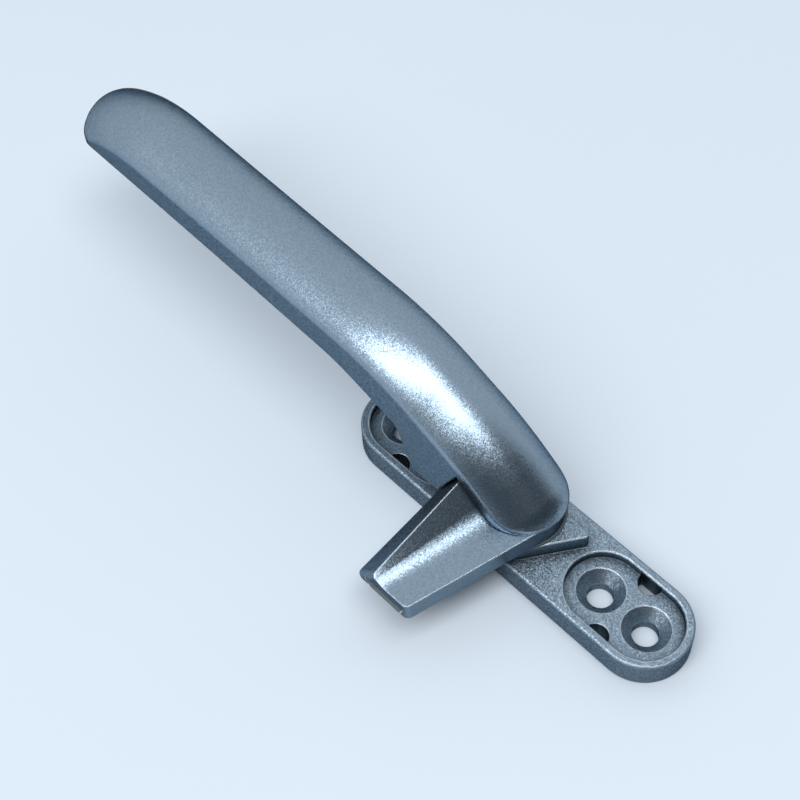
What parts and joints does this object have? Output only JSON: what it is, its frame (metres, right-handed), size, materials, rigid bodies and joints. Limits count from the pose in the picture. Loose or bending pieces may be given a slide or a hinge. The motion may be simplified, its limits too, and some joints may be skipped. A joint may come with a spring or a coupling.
{
  "type": "casement window handle",
  "caption": "Cast casement window handle: bent crowned lever with a scooped cam tongue turning on a slim plate with countersunk screw recesses.",
  "frame": {"origin": "on the pivot axis, in the plane of the plate's back face, halfway between the screw holes", "axes": "+Z out of the window sash along the pivot axis; -X along the plate, the way the closed lever points; -Y the way the closed tongue points"},
  "size_m": [0.1647, 0.0419, 0.0397],
  "materials": {
    "plate_paint": "silver metallic paint over a fine cast grain",
    "lever_paint": "smooth silver metallic paint with a fine orange peel",
    "tongue_paint": "smooth silver metallic paint with a fine orange peel",
    "pad_nylon": "moulded dark grey nylon",
    "pin_steel": "zinc-plated steel",
    "washer_nylon": "natural nylon",
    "spring_steel": "dark spring steel",
    "washer_steel": "zinc-plated steel"
  },
  "bodies": {
    "base": {"base_plate": "plate_paint", "thrust_washer": "washer_nylon", "disc_spring": "spring_steel"},
    "handle": {"lever": "lever_paint", "cam_tongue": "tongue_paint", "tongue_pad": "pad_nylon", "pivot_pin": "pin_steel", "retaining_washer": "washer_steel"}
  },
  "joints": [
    {"name": "lever_turn", "type": "hinge", "parent": "base", "child": "handle", "pos_m": [0, 0, 0], "axis": [0, 0, 1], "range_deg": [-90, 0]}
  ]
}
